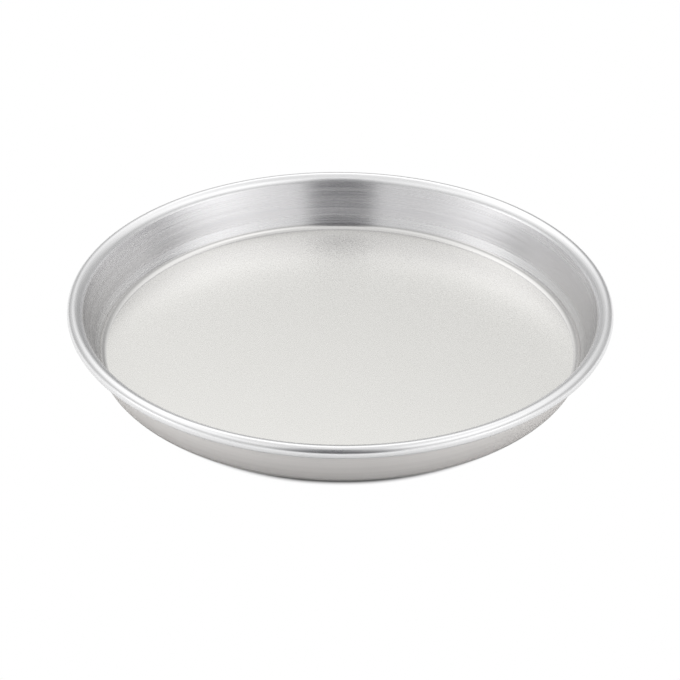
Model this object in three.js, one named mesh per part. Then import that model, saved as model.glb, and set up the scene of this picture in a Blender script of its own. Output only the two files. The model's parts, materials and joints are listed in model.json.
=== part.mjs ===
// Deep dish pan: a round tapered pan spun from one aluminium sheet, with its edge curled over a steel wire.
// Units are millimetres, +Z is up, and the origin is the centre of the underside.
import * as THREE from 'three';

// Pan body. Inside sizes, as bakeware is sold.
const TOP_INSIDE_DIAMETER = 355.6; // 14 in, where the wall's inner face would meet the rim's top
const FLOOR_INSIDE_DIAMETER = 330.2; // 13 in, where the wall's inner face would meet the floor
const DEPTH = 38.1; // 1.5 in, from the floor to the rim's top
const CORNER_RADIUS = 5; // inside, between floor and wall
const SHEET_THICKNESS = 1.63; // 14 gauge

// Wired rim
const SHOULDER_RADIUS = 8; // inside, where the wall starts to turn outward
const SHOULDER_END_SLOPE = THREE.MathUtils.degToRad(18); // from level, where the tighter curl takes over
const WIRE_DIAMETER = 4.76;
const WIRE_CLEARANCE = 0.3; // all round the wire, inside the curl
const CURL_GAP = 0.5; // from the curl's raw edge to the shoulder

// Fineness of the round surfaces
const STEPS_AROUND = 80; // a multiple of 4, so that shell and wire have their facets in line
const CORNER_STEPS = 5;
const SHOULDER_STEPS = 4;
const CURL_STEPS = 14;
const WIRE_STEPS = 12;

// Sizes that follow from the ones above
const rimHeight = SHEET_THICKNESS + DEPTH;
const floorRadius = FLOOR_INSIDE_DIAMETER / 2;
const taper = Math.atan2(TOP_INSIDE_DIAMETER / 2 - floorRadius, DEPTH); // wall's lean from upright

const curlInnerRadius = WIRE_DIAMETER / 2 + WIRE_CLEARANCE;
const curlOuterRadius = curlInnerRadius + SHEET_THICKNESS;
const curlHeight = rimHeight - curlOuterRadius;
const curlStart = Math.PI / 2 + SHOULDER_END_SLOPE;

// The shoulder's larger arc leaves the wall and passes smoothly into the curl.
const shoulderStart = Math.PI - taper;
const shoulderOffset = SHOULDER_RADIUS - curlOuterRadius; // between the two arcs' centres
const shoulderHeight = curlHeight - shoulderOffset * Math.sin(curlStart);
const wallRadiusAtShoulder = floorRadius + (shoulderHeight - SHEET_THICKNESS) * Math.tan(taper);
const shoulderCentre = new THREE.Vector2(wallRadiusAtShoulder + SHOULDER_RADIUS / Math.cos(taper), shoulderHeight);
const curlCentre = new THREE.Vector2(shoulderCentre.x + shoulderOffset * Math.cos(curlStart), curlHeight);

// The curl goes over the top and comes back until its raw edge is a gap away from the shoulder's outer face.
const edgeReach = SHOULDER_RADIUS - SHEET_THICKNESS - CURL_GAP; // from the shoulder's centre
const curlOpening = Math.acos(
  (edgeReach ** 2 - shoulderOffset ** 2 - curlOuterRadius ** 2) / (2 * shoulderOffset * curlOuterRadius),
);
const curlEnd = curlStart - 2 * Math.PI + curlOpening;

const cornerReach = CORNER_RADIUS * Math.tan((Math.PI / 2 - taper) / 2);
const cornerCentre = new THREE.Vector2(floorRadius - cornerReach, SHEET_THICKNESS + CORNER_RADIUS);

function arc(centre, radius, from, to, steps) {
  const points = [];
  for (let i = 0; i <= steps; i++) {
    const angle = from + ((to - from) * i) / steps;
    points.push(new THREE.Vector2(Math.cos(angle), Math.sin(angle)).multiplyScalar(radius).add(centre));
  }
  return points;
}

// One loop round the sheet's cross-section, from the axis at the underside to the axis at the floor.
function sheetSection() {
  const down = -Math.PI / 2;
  const wallNormal = -taper;
  return [
    new THREE.Vector2(0, 0),
    ...arc(cornerCentre, CORNER_RADIUS + SHEET_THICKNESS, down, wallNormal, CORNER_STEPS),
    ...arc(shoulderCentre, SHOULDER_RADIUS - SHEET_THICKNESS, shoulderStart, curlStart, SHOULDER_STEPS),
    ...arc(curlCentre, curlInnerRadius, curlStart, curlEnd, CURL_STEPS).slice(1),
    ...arc(curlCentre, curlOuterRadius, curlEnd, curlStart, CURL_STEPS),
    ...arc(shoulderCentre, SHOULDER_RADIUS, curlStart, shoulderStart, SHOULDER_STEPS).slice(1),
    ...arc(cornerCentre, CORNER_RADIUS, wallNormal, down, CORNER_STEPS),
    new THREE.Vector2(0, SHEET_THICKNESS),
  ];
}

function makeSpunShell() {
  const geometry = new THREE.LatheGeometry(sheetSection(), STEPS_AROUND);
  geometry.rotateX(Math.PI / 2); // the lathe turns about Y
  const aluminium = new THREE.MeshStandardMaterial({ color: 0xd8d8d5, roughness: 0.4, metalness: 1 });
  const shell = new THREE.Mesh(geometry, aluminium);
  shell.name = 'spun_shell';
  return shell;
}

function makeRimWire() {
  const geometry = new THREE.TorusGeometry(curlCentre.x, WIRE_DIAMETER / 2, WIRE_STEPS, STEPS_AROUND);
  const steel = new THREE.MeshStandardMaterial({ color: 0xa9abad, roughness: 0.45, metalness: 1 });
  const wire = new THREE.Mesh(geometry, steel);
  wire.name = 'rim_wire';
  wire.position.z = curlHeight;
  return wire;
}

const pan = new THREE.Group();
pan.add(makeSpunShell(), makeRimWire());

export default pan;
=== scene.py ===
import json
import math

import bmesh
import bpy
from mathutils import Matrix, Vector


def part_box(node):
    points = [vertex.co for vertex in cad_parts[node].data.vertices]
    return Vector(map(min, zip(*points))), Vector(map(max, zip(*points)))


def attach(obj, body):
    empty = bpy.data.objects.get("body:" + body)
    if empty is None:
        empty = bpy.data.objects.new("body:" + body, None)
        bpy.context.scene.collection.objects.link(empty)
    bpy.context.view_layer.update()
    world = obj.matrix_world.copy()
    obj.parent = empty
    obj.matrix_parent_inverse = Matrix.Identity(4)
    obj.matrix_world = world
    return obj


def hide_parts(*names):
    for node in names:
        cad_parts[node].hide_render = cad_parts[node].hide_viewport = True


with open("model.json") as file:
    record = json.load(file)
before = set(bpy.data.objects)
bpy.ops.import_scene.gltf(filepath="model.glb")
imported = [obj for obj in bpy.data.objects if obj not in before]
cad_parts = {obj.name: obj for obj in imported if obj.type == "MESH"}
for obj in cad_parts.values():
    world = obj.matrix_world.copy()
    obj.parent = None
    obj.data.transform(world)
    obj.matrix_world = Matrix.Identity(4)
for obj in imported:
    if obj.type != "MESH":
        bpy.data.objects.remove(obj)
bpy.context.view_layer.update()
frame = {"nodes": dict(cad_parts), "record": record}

MM = 0.001
WHITE = (1, 1, 1, 1)

# Sizes of the spun sheet, as in the construction
FLOOR_RADIUS = 165.1 * MM
CORNER_RADIUS = 5.0 * MM
SHOULDER_RADIUS = 8.0 * MM
SHOULDER_END_SLOPE = math.radians(18)
WIRE_CLEARANCE = 0.3 * MM
CURL_GAP = 0.5 * MM
EDGE_ROUNDING = 0.3 * MM

# Fineness of the spun surfaces
STEPS_AROUND = 256
FLOOR_RINGS = 8
CORNER_RINGS = 12
WALL_RINGS = 96
SHOULDER_RINGS = 12
BEAD_RINGS = 36
EDGE_RINGS = 3
EDGE_FLAT_RINGS = 2
BORE_RINGS = 20
OUTSIDE_RINGS = 40
MERGE_DISTANCE = 0.001 * MM

# Relief that the spinning tool left: the crease above the corner, and ridges by pitch, height and phase
CREASE_HEIGHT = 6.2 * MM
CREASE_DEPTH = 0.4 * MM
INSIDE_RIDGES = (
    (2.3 * MM, 0.0030 * MM, 0.0),
    (3.9 * MM, 0.0055 * MM, 1.3),
    (7.1 * MM, 0.0100 * MM, 2.1),
)
OUTSIDE_RIDGES = (
    (3.1 * MM, 0.0030 * MM, 0.7),
    (8.3 * MM, 0.0080 * MM, 1.9),
)
RIDGE_FADE = 3.0 * MM

# Bands in the inside corner, by height over the table: a painted shade line where the wall starts, and the
# foot painted paler as a painted sheen, with what the tool's scuffing adds to the roughness
SHADE_LINE_HEIGHTS = (4.2 * MM, 5.5 * MM)
# Painted shade: a darker line round the top of the inside corner
SHADE_LINE_COLOUR = (0.70, 0.695, 0.70, 1)
SHADE_LINE_SCUFF = 0.0
FOOT_HEIGHTS = (5.5 * MM, 10.9 * MM)
# Painted sheen: the foot's paler tone stands in for brighter reflection; the scuff only adds roughness
FOOT_SHEEN_COLOUR = (0.97, 0.97, 0.97, 1)
FOOT_SCUFF = 0.06
BAND_EDGE = 0.25 * MM

# Patterns of the finishes: the rolled sheet's fleck, and streaks round the axis by pitch and by breaks
# per radian
FLECK = 0.9 * MM
FLECKS_PER_CLOUD = 50
ROLLING_STRETCH = (0.45, 1, 1)
FINE_STREAKS = (0.7 * MM, 0.6)
BROAD_STREAKS = (3.5 * MM, 0.4)
BEAD_STREAKS = (0.5 * MM, 5.0)
WIRE_STREAKS = (0.3 * MM, 3.0)
QUARTER_TURN = 0.25

# Shares of two patterns where they are mixed, and the stretch of their values that goes from dull to pale,
# or from a band's least share to the whole of it
GRAIN_SHARE = 0.8
CLOUD_SHARE = 0.2
FINE_SHARE = 0.45
BROAD_SHARE = 0.55
PATTERN_SPAN = (0.3, 0.7)
LINE_SPAN = (0.35, 0.65)
BAND_SPAN = (0.42, 0.58)
BAND_LEAST = 0.25

# How far a pattern takes the roughness down and up, and its relief by strength and depth
GRAIN_SPREAD = (0.05, 0.065)
LINE_SPREAD = (0.05, 0.05)
BEAD_SPREAD = (0.03, 0.03)
GRAIN_RELIEF = (0.08, 0.05 * MM)
LINE_RELIEF = (0.15, 0.05 * MM)
BEAD_RELIEF = (0.05, 0.03 * MM)

# View of the photograph
VIEW_DISTANCE = 1.572
VIEW_ELEVATION = math.radians(30.756)
VIEW_CENTRE_HEIGHT = 35 * MM
VIEW_TILT = math.radians(0.956)
VIEW_ROLL = math.radians(0.531)
VIEW_LENS = 121.1
SENSOR_WIDTH = 36.0
CLIP_START = 0.01

# Studio in metres: the table, and the dark card in front of the pan with the clear sheet that holds it
TABLE_SIZE = 4.0
TABLE_DROP = 0.05 * MM
CARD_PLACE = -0.51
CARD_HALF_WIDTH = 0.155
CARD_FOOT = 0.05
CARD_TOP = 1.1
CARD_SOFTNESS = 0.04
CARD_DARK = (0.02, 0.02, 0.028, 1)
CARD_PALER = (0.17, 0.17, 0.178, 1)
CARD_PALER_HEIGHTS = (0.12, 0.22)
CARD_SHEET_WIDTH = 0.6
CARD_SHEET_HEIGHT = 1.4

# Table by distance from the pan's axis: painted shade under the heel, then lifted to white for the camera,
# and partly near the pan and fully further out for the metal that mirrors it. At the pan's sides the
# painted shade ends sooner, and more of the near white shows.
TABLE_PAINT = (0.85, 0.85, 0.85, 1)
TABLE_PAINTED_SHADE = (0.25, 0.25, 0.25, 1)
SHADE_REACH = (163 * MM, 168 * MM)
WHITE_REACH = (163 * MM, 169 * MM)
NEAR_REACH = (168 * MM, 200 * MM)
FAR_REACH = (200 * MM, 320 * MM)
NEAR_WHITE = 0.66
NEAR_FRONT = 0.45
NEAR_SIDES = 0.95
SIDE_SPAN = (0.1, 0.75)
SIDE_SHIFT = 4 * MM

# Soft lights round the pan: strength, direction in degrees from the front to the right, width in degrees.
# A flag takes light away.
ROOM_LEVEL = 0.51
STANDS = ((0.95, -77, 26), (0.86, 60, 27), (0.29, 0, 40))
BOXES = ((0.35, -128, 57), (0.36, 70, 52), (0.35, 180, 25))
BOX_RING = 0.42
FLAGS = ((-0.14, 163, 20),)
ROOF = (0.79, 0.79, 0.79, 1)

# How each row of lights fades: from and to which height in degrees, and its share below and above
STAND_FADE = (11.5, 22.5, 1.0, 0.0)
BOX_FADE = (18, 52, 0.0, 1.0)
FLAG_FADE = (34, 53, 1.0, 0.0)
ROOF_HEIGHTS = (58, 71)


# The sheet's section, drawn in the plane of X and Z and then spun about Z

def measure_sheet():
    """Sizes and arc centres that follow from the frame: its wire, its floor and the wall's lean."""
    low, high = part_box("rim_wire")
    wire_radius = (high[2] - low[2]) / 2
    floor_mount = next(m for m in frame["record"]["mounts"] if m["name"] == "floor_inside")
    thickness = floor_mount["pos_m"][2]
    bead = wire_radius + WIRE_CLEARANCE + thickness
    curl = Vector((high[0] - wire_radius, 0, (low[2] + high[2]) / 2))
    curl_start = math.pi / 2 + SHOULDER_END_SLOPE
    offset = SHOULDER_RADIUS - bead
    shoulder = curl - offset * facing(curl_start)
    edge_reach = SHOULDER_RADIUS - thickness - CURL_GAP
    opening = math.acos((edge_reach ** 2 - offset ** 2 - bead ** 2) / (2 * offset * bead))
    reach = shoulder - Vector((FLOOR_RADIUS, 0, thickness))
    lean = math.atan2(reach.x, reach.z) - math.asin(SHOULDER_RADIUS / reach.length)
    corner_reach = CORNER_RADIUS * math.tan((math.pi / 2 - lean) / 2)
    return {
        "thickness": thickness,
        "bead": bead,
        "curl": curl,
        "curl_start": curl_start,
        "curl_end": curl_start - math.tau + opening,
        "shoulder": shoulder,
        "lean": lean,
        "corner": Vector((FLOOR_RADIUS - corner_reach, 0, thickness + CORNER_RADIUS)),
    }


def facing(angle):
    """Direction in the section's plane, counted from straight outward towards up."""
    return Vector((math.cos(angle), 0, math.sin(angle)))


def draw_straight(bm, start, end, rings):
    verts = [bm.verts.new(start), bm.verts.new(end)]
    edge = bm.edges.new(verts)
    bmesh.ops.subdivide_edges(bm, edges=[edge], cuts=rings - 1)


def draw_arc(bm, centre, radius, angles, rings):
    start, end = angles
    vert = bm.verts.new(centre + radius * facing(start))
    bmesh.ops.spin(bm, geom=[vert], cent=centre, axis=(0, -1, 0), angle=end - start, steps=rings)


def raise_ridges(verts, start, end, ridges, outward):
    """Lays the tool's ridges across a straight stretch, fading out at both ends."""
    length = (end - start).length
    for vert in verts:
        along = (vert.co - start).length
        fade = min(1.0, along / RIDGE_FADE, (length - along) / RIDGE_FADE)
        height = sum(h * math.sin(math.tau * along / pitch + phase) for pitch, h, phase in ridges)
        vert.co += outward * height * fade


def press_crease(verts, start, end, inward):
    """Leans the wall's foot out, up to a crease, above which the wall bows back to its true line."""
    length = (end - start).length
    for vert in verts:
        along = (vert.co - start).length
        if along < CREASE_HEIGHT:
            depth = along / CREASE_HEIGHT
        else:
            depth = ((length - along) / (length - CREASE_HEIGHT)) ** 2
        vert.co -= inward * CREASE_DEPTH * depth


def draw_inner_wall(bm, start, end, inward):
    draw_straight(bm, start, end, WALL_RINGS)
    press_crease(bm.verts, start, end, inward)
    raise_ridges(bm.verts, start, end, INSIDE_RIDGES, inward)


def draw_outer_wall(bm, start, end, outward):
    draw_straight(bm, start, end, OUTSIDE_RINGS)
    raise_ridges(bm.verts, start, end, OUTSIDE_RIDGES, outward)


def draw_raw_edge(bm, sheet):
    """The sheet's cut end inside the curl, with both corners eased."""
    curl, end, bore = sheet["curl"], sheet["curl_end"], sheet["bead"] - sheet["thickness"]
    outer = curl + (sheet["bead"] - EDGE_ROUNDING) * facing(end)
    inner = curl + (bore + EDGE_ROUNDING) * facing(end)
    draw_arc(bm, outer, EDGE_ROUNDING, (end, end - math.pi / 2), EDGE_RINGS)
    draw_straight(bm, outer + EDGE_ROUNDING * facing(end - math.pi / 2),
                  inner + EDGE_ROUNDING * facing(end - math.pi / 2), EDGE_FLAT_RINGS)
    draw_arc(bm, inner, EDGE_ROUNDING, (end - math.pi / 2, end - math.pi), EDGE_RINGS)


def section_strokes(sheet):
    """The section from the floor's centre round to the underside's centre: a finish and how to draw it."""
    thick, bead, lean = sheet["thickness"], sheet["bead"], sheet["lean"]
    corner, shoulder, curl = sheet["corner"], sheet["shoulder"], sheet["curl"]
    curl_start, curl_end = sheet["curl_start"], sheet["curl_end"]
    wall_facing = math.pi - lean
    down = -math.pi / 2
    inward = facing(wall_facing)
    foot = corner + CORNER_RADIUS * facing(-lean)
    neck = shoulder + SHOULDER_RADIUS * inward
    skin = thick * inward
    floor_edge = Vector((corner.x, 0, thick))
    return [
        ("floor", lambda bm: draw_straight(bm, Vector((0, 0, thick)), floor_edge, FLOOR_RINGS)),
        ("corner", lambda bm: draw_arc(bm, corner, CORNER_RADIUS, (down, -lean), CORNER_RINGS)),
        ("wall", lambda bm: draw_inner_wall(bm, foot, neck, inward)),
        ("bead", lambda bm: draw_arc(
            bm, shoulder, SHOULDER_RADIUS, (wall_facing, curl_start), SHOULDER_RINGS)),
        ("bead", lambda bm: draw_arc(bm, curl, bead, (curl_start, curl_end), BEAD_RINGS)),
        ("outside", lambda bm: draw_raw_edge(bm, sheet)),
        ("outside", lambda bm: draw_arc(bm, curl, bead - thick, (curl_end, curl_start), BORE_RINGS)),
        ("outside", lambda bm: draw_arc(
            bm, shoulder, SHOULDER_RADIUS - thick, (curl_start, wall_facing), SHOULDER_RINGS)),
        ("outside", lambda bm: draw_outer_wall(bm, neck - skin, foot - skin, -inward)),
        ("heel", lambda bm: draw_arc(bm, corner, CORNER_RADIUS + thick, (-lean, down), CORNER_RINGS)),
        ("underside", lambda bm: draw_straight(
            bm, Vector((corner.x, 0, 0)), Vector((0, 0, 0)), FLOOR_RINGS)),
    ]


# Making pieces

def new_piece(name, mesh_maker, materials):
    """An object whose mesh a bmesh function makes in place, with its materials in order."""
    mesh = bpy.data.meshes.new(name)
    bm = bmesh.new()
    mesh_maker(bm)
    bm.to_mesh(mesh)
    bm.free()
    for material in materials:
        mesh.materials.append(material)
    piece = bpy.data.objects.new(name, mesh)
    bpy.context.scene.collection.objects.link(piece)
    return piece


def spin_stroke(draw, finish):
    """Draws one stretch of the section and turns it about the pan's axis, as a mesh of its own."""
    bm = bmesh.new()
    draw(bm)
    bmesh.ops.spin(
        bm, geom=[*bm.verts, *bm.edges], axis=(0, 0, 1), cent=(0, 0, 0),
        angle=math.tau, steps=STEPS_AROUND, use_merge=True,
    )
    for face in bm.faces:
        face.material_index = finish
        face.smooth = True
    mesh = bpy.data.meshes.new("stretch")
    bm.to_mesh(mesh)
    bm.free()
    return mesh


def make_shell(finishes):
    """The whole spun sheet: floor, corner, wall, shoulder, rolled bead, outside and underside."""
    order = list(finishes)

    def build(bm):
        for finish, draw in section_strokes(measure_sheet()):
            stretch = spin_stroke(draw, order.index(finish))
            bm.from_mesh(stretch)
            bpy.data.meshes.remove(stretch)
        bmesh.ops.remove_doubles(bm, verts=bm.verts, dist=MERGE_DISTANCE)
        bmesh.ops.dissolve_degenerate(bm, edges=bm.edges, dist=MERGE_DISTANCE)
        bmesh.ops.recalc_face_normals(bm, faces=bm.faces)

    return new_piece("pan_shell", build, list(finishes.values()))


# Node helpers

def add_node(tree, kind, inputs=None, **settings):
    """A node with its settings, and its inputs given as values or as sockets to link."""
    node = tree.nodes.new(kind)
    for key, value in settings.items():
        setattr(node, key, value)
    for key, value in (inputs or {}).items():
        if isinstance(value, bpy.types.NodeSocket):
            tree.links.new(value, node.inputs[key])
        else:
            node.inputs[key].default_value = value
    return node


def maths(tree, operation, *values):
    node = add_node(tree, "ShaderNodeMath", dict(enumerate(values)), operation=operation)
    return node.outputs[0]


def vector_maths(tree, operation, inputs, output="Vector"):
    return add_node(tree, "ShaderNodeVectorMath", inputs, operation=operation).outputs[output]


def total(tree, *values):
    result = values[0]
    for value in values[1:]:
        result = maths(tree, "ADD", result, value)
    return result


def product(tree, *values):
    result = values[0]
    for value in values[1:]:
        result = maths(tree, "MULTIPLY", result, value)
    return result


def remap(tree, value, low, high, to_low=0.0, to_high=1.0, smooth=False):
    """A value's stretch from low to high, laid over another stretch and held at its ends."""
    inputs = {"Value": value, "From Min": low, "From Max": high, "To Min": to_low, "To Max": to_high}
    kind = "SMOOTHSTEP" if smooth else "LINEAR"
    return add_node(tree, "ShaderNodeMapRange", inputs, interpolation_type=kind).outputs["Result"]


def lobe(tree, turn, centre, width):
    """One in a direction round the pan, falling smoothly to both sides and closing without a seam."""
    half = product(tree, maths(tree, "SUBTRACT", turn, math.radians(centre)), 0.5)
    away = maths(tree, "DIVIDE", maths(tree, "SINE", half), math.radians(width) / 2)
    return maths(tree, "EXPONENT", product(tree, away, away, -1.0))


def mix_colour(tree, share, first, second):
    node = tree.nodes.new("ShaderNodeMix")
    node.data_type = "RGBA"
    sockets = {s.identifier: s for s in node.inputs}
    for key, value in (("Factor_Float", share), ("A_Color", first), ("B_Color", second)):
        if isinstance(value, bpy.types.NodeSocket):
            tree.links.new(value, sockets[key])
        else:
            sockets[key].default_value = value
    return next(s for s in node.outputs if s.identifier == "Result_Color")


def new_group(name, inputs, outputs):
    """An empty shader group with named sockets, and its two end nodes' sockets."""
    tree = bpy.data.node_groups.new(name, "ShaderNodeTree")
    for socket, kind, value in inputs:
        made = tree.interface.new_socket(socket, in_out="INPUT", socket_type=kind)
        if value is not None:
            made.default_value = value
    for socket, kind in outputs:
        tree.interface.new_socket(socket, in_out="OUTPUT", socket_type=kind)
    return tree, tree.nodes.new("NodeGroupInput").outputs, tree.nodes.new("NodeGroupOutput").inputs


def use_group(tree, group, inputs):
    return add_node(tree, "ShaderNodeGroup", inputs, node_tree=group).outputs


def radius_of(tree, position):
    flat = vector_maths(tree, "MULTIPLY", {0: position, 1: (1, 1, 0)})
    return vector_maths(tree, "LENGTH", {0: flat}, "Value")


def height_of(tree, position):
    return add_node(tree, "ShaderNodeSeparateXYZ", {0: position}).outputs["Z"]


def bump(tree, height, strength, distance):
    node = add_node(tree, "ShaderNodeBump", {"Height": height, "Strength": strength, "Distance": distance})
    return node.outputs["Normal"]


# Shared effects

VALUE, VECTOR = "NodeSocketFloat", "NodeSocketVector"


def ring_streaks_group():
    """Fine lines round the axis, each fading in and out along its way."""
    tree, given, gives = new_group(
        "ring_streaks",
        [("Position", VECTOR, None), ("Along", VALUE, 0.0), ("Pitch", VALUE, MM), ("Breaks", VALUE, 3.0)],
        [("Streaks", VALUE)],
    )
    flat = vector_maths(tree, "MULTIPLY", {0: given["Position"], 1: (1, 1, 0)})
    round_axis = vector_maths(tree, "NORMALIZE", {0: flat})
    around = vector_maths(tree, "SCALE", {0: round_axis, "Scale": given["Breaks"]})
    line = maths(tree, "DIVIDE", given["Along"], given["Pitch"])
    height = add_node(tree, "ShaderNodeCombineXYZ", {"Z": line})
    place = vector_maths(tree, "ADD", {0: around, 1: height.outputs[0]})
    noise = add_node(
        tree, "ShaderNodeTexNoise", {"Vector": place, "Scale": 1.0, "Detail": 2.0, "Roughness": 0.5})
    tree.links.new(noise.outputs[0], gives["Streaks"])
    return tree


def sheet_grain_group():
    """Mill finish of rolled sheet: an even fleck with a slight lie along the rolling direction."""
    tree, given, gives = new_group(
        "sheet_grain",
        [("Position", VECTOR, None), ("Fleck", VALUE, MM)],
        [("Grain", VALUE), ("Cloud", VALUE)],
    )
    stretch = vector_maths(tree, "MULTIPLY", {0: given["Position"], 1: ROLLING_STRETCH})
    per_fleck = maths(tree, "DIVIDE", 1.0, given["Fleck"])
    grain = add_node(
        tree, "ShaderNodeTexNoise",
        {"Vector": stretch, "Scale": per_fleck, "Detail": 2.0, "Roughness": 0.65},
    )
    per_cloud = maths(tree, "DIVIDE", 1 / FLECKS_PER_CLOUD, given["Fleck"])
    cloud = add_node(
        tree, "ShaderNodeTexNoise",
        {"Vector": given["Position"], "Scale": per_cloud, "Detail": 3.0, "Roughness": 0.55},
    )
    tree.links.new(grain.outputs[0], gives["Grain"])
    tree.links.new(cloud.outputs[0], gives["Cloud"])
    return tree


# Finishes

def metal(name, **values):
    """A bare metal with its fixed values on the shader, ready for its pattern."""
    material = bpy.data.materials.new(name)
    material.use_nodes = True
    tree = material.node_tree
    shader = tree.nodes["Principled BSDF"]
    shader.inputs["Metallic"].default_value = 1.0
    for socket, value in values.items():
        shader.inputs[socket].default_value = value
    position = tree.nodes.new("ShaderNodeTexCoord").outputs["Object"]
    return material, tree, shader.inputs, position


def lay_streaks(tree, group, position, along, kind):
    """How strong one kind of streak is at each place, counted along the section."""
    pitch, breaks = kind
    inputs = {"Position": position, "Along": along, "Pitch": pitch, "Breaks": breaks}
    return use_group(tree, group, inputs)["Streaks"]


def vary_roughness(tree, pattern, roughness, spread):
    """Roughness that a pattern takes down and up from its middle value."""
    less, more = spread
    return remap(tree, pattern, *PATTERN_SPAN, roughness - less, roughness + more)


def mill_finish(name, grain, pale, dull, roughness):
    """Dull rolled sheet, as left on the floor and the underside."""
    material, tree, surface, position = metal(name)
    made = use_group(tree, grain, {"Position": position, "Fleck": FLECK})
    mottle = total(
        tree, product(tree, made["Grain"], GRAIN_SHARE), product(tree, made["Cloud"], CLOUD_SHARE))
    tone = mix_colour(tree, remap(tree, mottle, *PATTERN_SPAN), dull, pale)
    tree.links.new(tone, surface["Base Color"])
    rough = vary_roughness(tree, made["Grain"], roughness, GRAIN_SPREAD)
    tree.links.new(rough, surface["Roughness"])
    tree.links.new(bump(tree, made["Grain"], *GRAIN_RELIEF), surface["Normal"])
    return material


def spun_finish(name, streaks, pale, dull, roughness, anisotropy, edge=WHITE, bands=()):
    """Turned metal: fine lines round the axis, which smear reflections up and down, and bands by height."""
    values = {"Anisotropic": anisotropy, "Anisotropic Rotation": QUARTER_TURN, "Specular Tint": edge}
    material, tree, surface, position = metal(name, **values)
    tangent = add_node(tree, "ShaderNodeTangent", direction_type="RADIAL", axis="Z")
    tree.links.new(tangent.outputs[0], surface["Tangent"])
    along = height_of(tree, position)
    fine = lay_streaks(tree, streaks, position, along, FINE_STREAKS)
    broad = lay_streaks(tree, streaks, position, along, BROAD_STREAKS)
    lines = total(tree, product(tree, fine, FINE_SHARE), product(tree, broad, BROAD_SHARE))
    tone = mix_colour(tree, remap(tree, lines, *LINE_SPAN), dull, pale)
    rough = vary_roughness(tree, lines, roughness, LINE_SPREAD)
    # The bands' colours are painted light: a darker shade line at the corner and a paler sheen on the foot
    for low, high, colour, scuff in bands:
        above = remap(tree, along, low - BAND_EDGE, low + BAND_EDGE)
        below = remap(tree, along, high - BAND_EDGE, high + BAND_EDGE, 1.0, 0.0)
        share = product(tree, above, below, remap(tree, lines, *BAND_SPAN, BAND_LEAST, 1.0))
        tone = mix_colour(tree, share, tone, colour)
        if scuff:
            rough = total(tree, rough, product(tree, share, scuff))
    tree.links.new(tone, surface["Base Color"])
    tree.links.new(rough, surface["Roughness"])
    tree.links.new(bump(tree, lines, *LINE_RELIEF), surface["Normal"])
    return material


def bead_finish(name, streaks, pale, dull, roughness):
    """Burnished shoulder and bead: short, faint lines and an even shine in all directions."""
    material, tree, surface, position = metal(name)
    along = total(tree, height_of(tree, position), radius_of(tree, position))
    lines = lay_streaks(tree, streaks, position, along, BEAD_STREAKS)
    tone = mix_colour(tree, remap(tree, lines, *PATTERN_SPAN), dull, pale)
    tree.links.new(tone, surface["Base Color"])
    rough = vary_roughness(tree, lines, roughness, BEAD_SPREAD)
    tree.links.new(rough, surface["Roughness"])
    tree.links.new(bump(tree, lines, *BEAD_RELIEF), surface["Normal"])
    return material


def wire_finish(name, streaks, pale, dull, roughness):
    """Drawn steel wire: dull, with lines along its length."""
    material, tree, surface, position = metal(name)
    along = total(tree, height_of(tree, position), radius_of(tree, position))
    lines = lay_streaks(tree, streaks, position, along, WIRE_STREAKS)
    tone = mix_colour(tree, remap(tree, lines, *PATTERN_SPAN), dull, pale)
    tree.links.new(tone, surface["Base Color"])
    tree.links.new(remap(tree, lines, *PATTERN_SPAN, *roughness), surface["Roughness"])
    return material


# Studio

def make_camera():
    data = bpy.data.cameras.new("photo_camera")
    data.lens = VIEW_LENS
    data.sensor_width = SENSOR_WIDTH
    data.clip_start = CLIP_START
    camera = bpy.data.objects.new("photo_camera", data)
    centre = Vector((0, 0, VIEW_CENTRE_HEIGHT))
    back = Vector((0, -math.cos(VIEW_ELEVATION), math.sin(VIEW_ELEVATION)))
    look_down = VIEW_ELEVATION + VIEW_TILT
    turn = Matrix.Rotation(math.pi / 2 - look_down, 4, "X") @ Matrix.Rotation(VIEW_ROLL, 4, "Z")
    camera.matrix_world = Matrix.Translation(centre + back * VIEW_DISTANCE) @ turn
    bpy.context.scene.collection.objects.link(camera)
    bpy.context.scene.camera = camera


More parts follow.
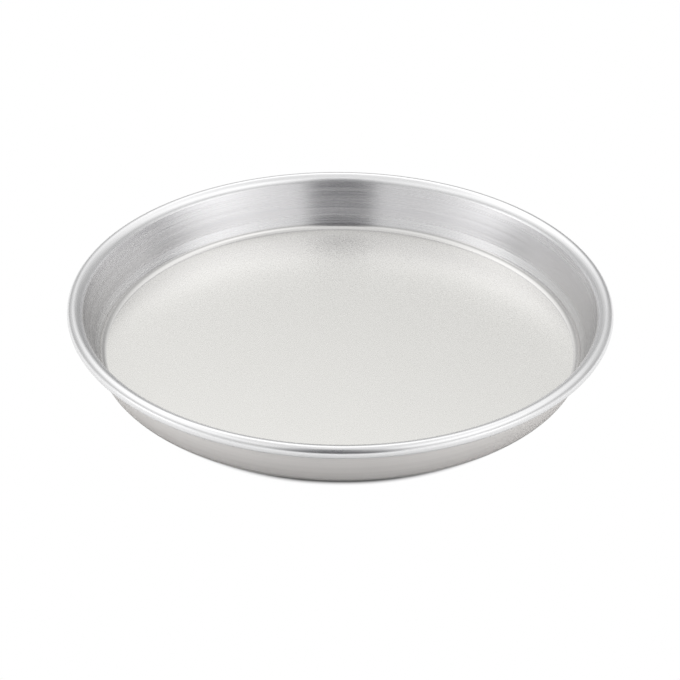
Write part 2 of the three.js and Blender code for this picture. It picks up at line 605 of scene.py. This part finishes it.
def table_material():
    """White table: diffuse paint with painted shade under the pan's heel, lifted to paper white away from
    it.
    """
    material = bpy.data.materials.new("white_table")
    material.use_nodes = True
    tree = material.node_tree
    tree.nodes.clear()
    paper = add_node(tree, "ShaderNodeEmission", {"Color": WHITE, "Strength": 1.0})
    position = tree.nodes.new("ShaderNodeTexCoord").outputs["Object"]
    radius = radius_of(tree, position)
    across = maths(tree, "ABSOLUTE", add_node(tree, "ShaderNodeSeparateXYZ", {0: position}).outputs["X"])
    beside = remap(tree, maths(tree, "DIVIDE", across, radius), *SIDE_SPAN, smooth=True)
    reach = total(tree, radius, product(tree, beside, SIDE_SHIFT))
    # Painted shade: the table's paint darkens towards the pan's heel
    shade = remap(tree, reach, *SHADE_REACH, 1.0, 0.0, smooth=True)
    colour = mix_colour(tree, shade, TABLE_PAINT, TABLE_PAINTED_SHADE)
    paint = add_node(tree, "ShaderNodeBsdfDiffuse", {"Color": colour})
    path = tree.nodes.new("ShaderNodeLightPath").outputs
    seen = product(tree, path["Is Camera Ray"], remap(tree, reach, *WHITE_REACH, smooth=True))
    near = product(
        tree, remap(tree, radius, *NEAR_REACH, 0.0, NEAR_WHITE, smooth=True),
        remap(tree, beside, 0.0, 1.0, NEAR_FRONT, NEAR_SIDES),
    )
    lit = maths(tree, "MAXIMUM", near, remap(tree, radius, *FAR_REACH, smooth=True))
    from_metal = maths(tree, "MAXIMUM", path["Is Glossy Ray"], path["Is Transmission Ray"])
    not_scattered = maths(tree, "LESS_THAN", path["Diffuse Depth"], 0.5)
    mirrored = product(tree, lit, from_metal, not_scattered)
    share = maths(tree, "MAXIMUM", seen, mirrored)
    mixed = add_node(tree, "ShaderNodeMixShader", {0: share, 1: paint.outputs[0], 2: paper.outputs[0]})
    output = tree.nodes.new("ShaderNodeOutputMaterial")
    tree.links.new(mixed.outputs[0], output.inputs["Surface"])
    return material


def make_table():
    def build(bm):
        bmesh.ops.create_grid(bm, x_segments=8, y_segments=8, size=TABLE_SIZE / 2)
        bmesh.ops.translate(bm, verts=bm.verts, vec=(0, 0, -TABLE_DROP))

    table = new_piece("table_top", build, [table_material()])


def card_material():
    """Dark card with soft edges, as the dim opening that the camera looks in through."""
    material = bpy.data.materials.new("dark_card")
    material.use_nodes = True
    tree = material.node_tree
    tree.nodes.clear()
    position = tree.nodes.new("ShaderNodeTexCoord").outputs["Object"]
    place = add_node(tree, "ShaderNodeSeparateXYZ", {0: position}).outputs
    aside = maths(tree, "ABSOLUTE", place["X"])
    height = place["Z"]
    soft, softer = CARD_SOFTNESS, 4 * CARD_SOFTNESS
    body = product(
        tree,
        remap(tree, aside, CARD_HALF_WIDTH - soft, CARD_HALF_WIDTH + soft, 1.0, 0.0, smooth=True),
        remap(tree, height, CARD_FOOT - soft, CARD_FOOT + soft, smooth=True),
        remap(tree, height, CARD_TOP - softer, CARD_TOP + softer, 1.0, 0.0, smooth=True),
    )
    clear = tree.nodes.new("ShaderNodeBsdfTransparent")
    paler = remap(tree, height, *CARD_PALER_HEIGHTS, smooth=True)
    dim = mix_colour(tree, paler, CARD_DARK, CARD_PALER)
    dark = add_node(tree, "ShaderNodeEmission", {"Color": dim, "Strength": 1.0})
    mixed = add_node(tree, "ShaderNodeMixShader", {0: body, 1: clear.outputs[0], 2: dark.outputs[0]})
    output = tree.nodes.new("ShaderNodeOutputMaterial")
    tree.links.new(mixed.outputs[0], output.inputs["Surface"])
    return material


def make_card():
    """Stands between camera and pan, unseen by the camera, so that only the metal mirrors it."""
    def build(bm):
        bmesh.ops.create_grid(bm, x_segments=4, y_segments=8, size=0.5)
        bmesh.ops.scale(bm, verts=bm.verts, vec=(CARD_SHEET_WIDTH, CARD_SHEET_HEIGHT, 1))
        bmesh.ops.rotate(bm, verts=bm.verts, cent=(0, 0, 0), matrix=Matrix.Rotation(math.pi / 2, 3, "X"))
        bmesh.ops.translate(bm, verts=bm.verts, vec=(0, CARD_PLACE, CARD_SHEET_HEIGHT / 2))

    card = new_piece("camera_card", build, [card_material()])
    card.visible_camera = False


def soft_lights(tree, turn, height, lights, ring, fade):
    """Lights in a row round the pan over an even ring, fading in or out with height."""
    row = ring
    for strength, centre, width in lights:
        row = total(tree, row, product(tree, lobe(tree, turn, centre, width), strength))
    low, high, below, above = fade
    share = remap(tree, height, math.radians(low), math.radians(high), below, above, smooth=True)
    return product(tree, row, share)


def light_studio():
    """Pale room with lamps on stands low down, soft boxes higher up, a flag behind and an even roof."""
    world = bpy.data.worlds.new("studio")
    bpy.context.scene.world = world
    world.use_nodes = True
    tree = world.node_tree
    tree.nodes.clear()
    direction = tree.nodes.new("ShaderNodeTexCoord").outputs["Generated"]
    ray = add_node(tree, "ShaderNodeSeparateXYZ", {0: direction}).outputs
    height = maths(tree, "ARCSINE", ray["Z"])
    turn = maths(tree, "ARCTAN2", ray["X"], product(tree, ray["Y"], -1.0))
    walls = total(
        tree, ROOM_LEVEL,
        soft_lights(tree, turn, height, STANDS, 0.0, STAND_FADE),
        soft_lights(tree, turn, height, BOXES, BOX_RING, BOX_FADE),
        soft_lights(tree, turn, height, FLAGS, 0.0, FLAG_FADE),
    )
    roof_start, roof_end = ROOF_HEIGHTS
    overhead = remap(tree, height, math.radians(roof_start), math.radians(roof_end), smooth=True)
    room = mix_colour(tree, overhead, walls, ROOF)
    path = tree.nodes.new("ShaderNodeLightPath").outputs
    seen = maths(tree, "MAXIMUM", path["Is Camera Ray"], path["Is Transmission Ray"])
    shown = mix_colour(tree, seen, room, WHITE)
    background = add_node(tree, "ShaderNodeBackground", {"Color": shown, "Strength": 1.0})
    output = tree.nodes.new("ShaderNodeOutputWorld")
    tree.links.new(background.outputs[0], output.inputs["Surface"])


# The dressed pan

make_camera()
light_studio()
make_table()
make_card()

streak_lines = ring_streaks_group()
rolled_grain = sheet_grain_group()
# Painted shade line round the top of the inside corner
painted_shade_line = (*SHADE_LINE_HEIGHTS, SHADE_LINE_COLOUR, SHADE_LINE_SCUFF)
# Foot band: painted sheen in its paler tone, with a scuff's added roughness
scuff_and_sheen_foot = (*FOOT_HEIGHTS, FOOT_SHEEN_COLOUR, FOOT_SCUFF)
finishes = {
    "floor": mill_finish(
        "floor_mill", rolled_grain, roughness=0.28,
        pale=(0.895, 0.887, 0.859, 1), dull=(0.862, 0.854, 0.826, 1)),
    "corner": spun_finish(
        "corner_spun", streak_lines, roughness=0.22, anisotropy=0.3, bands=[painted_shade_line],
        pale=(0.82, 0.812, 0.80, 1), dull=(0.77, 0.762, 0.75, 1)),
    "wall": spun_finish(
        "wall_spun", streak_lines, roughness=0.255, anisotropy=0.7, bands=[painted_shade_line, scuff_and_sheen_foot],
        pale=(0.895, 0.89, 0.90, 1), dull=(0.805, 0.80, 0.815, 1), edge=(0.76, 0.76, 0.76, 1)),
    "bead": bead_finish(
        "bead_burnished", streak_lines, roughness=0.28,
        pale=(0.92, 0.92, 0.925, 1), dull=(0.87, 0.87, 0.875, 1)),
    "outside": spun_finish(
        "outside_spun", streak_lines, roughness=0.45, anisotropy=0.5,
        pale=(0.96, 0.94, 0.922, 1), dull=(0.90, 0.88, 0.862, 1)),
    "heel": spun_finish(
        "heel_spun", streak_lines, roughness=0.24, anisotropy=0.3,
        pale=(0.90, 0.885, 0.87, 1), dull=(0.84, 0.825, 0.81, 1)),
    "underside": mill_finish(
        "underside_mill", rolled_grain, roughness=0.4,
        pale=(0.84, 0.84, 0.83, 1), dull=(0.76, 0.76, 0.75, 1)),
}
shell = make_shell(finishes)
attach(shell, "root")
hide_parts("spun_shell")

wire = frame["nodes"]["rim_wire"]
wire_metal = wire_finish(
    "wire_drawn", streak_lines, roughness=(0.35, 0.5),
    pale=(0.60, 0.61, 0.62, 1), dull=(0.36, 0.37, 0.38, 1))
for slot in wire.material_slots:
    slot.material = wire_metal

bpy.context.scene.view_settings.view_transform = "Standard"
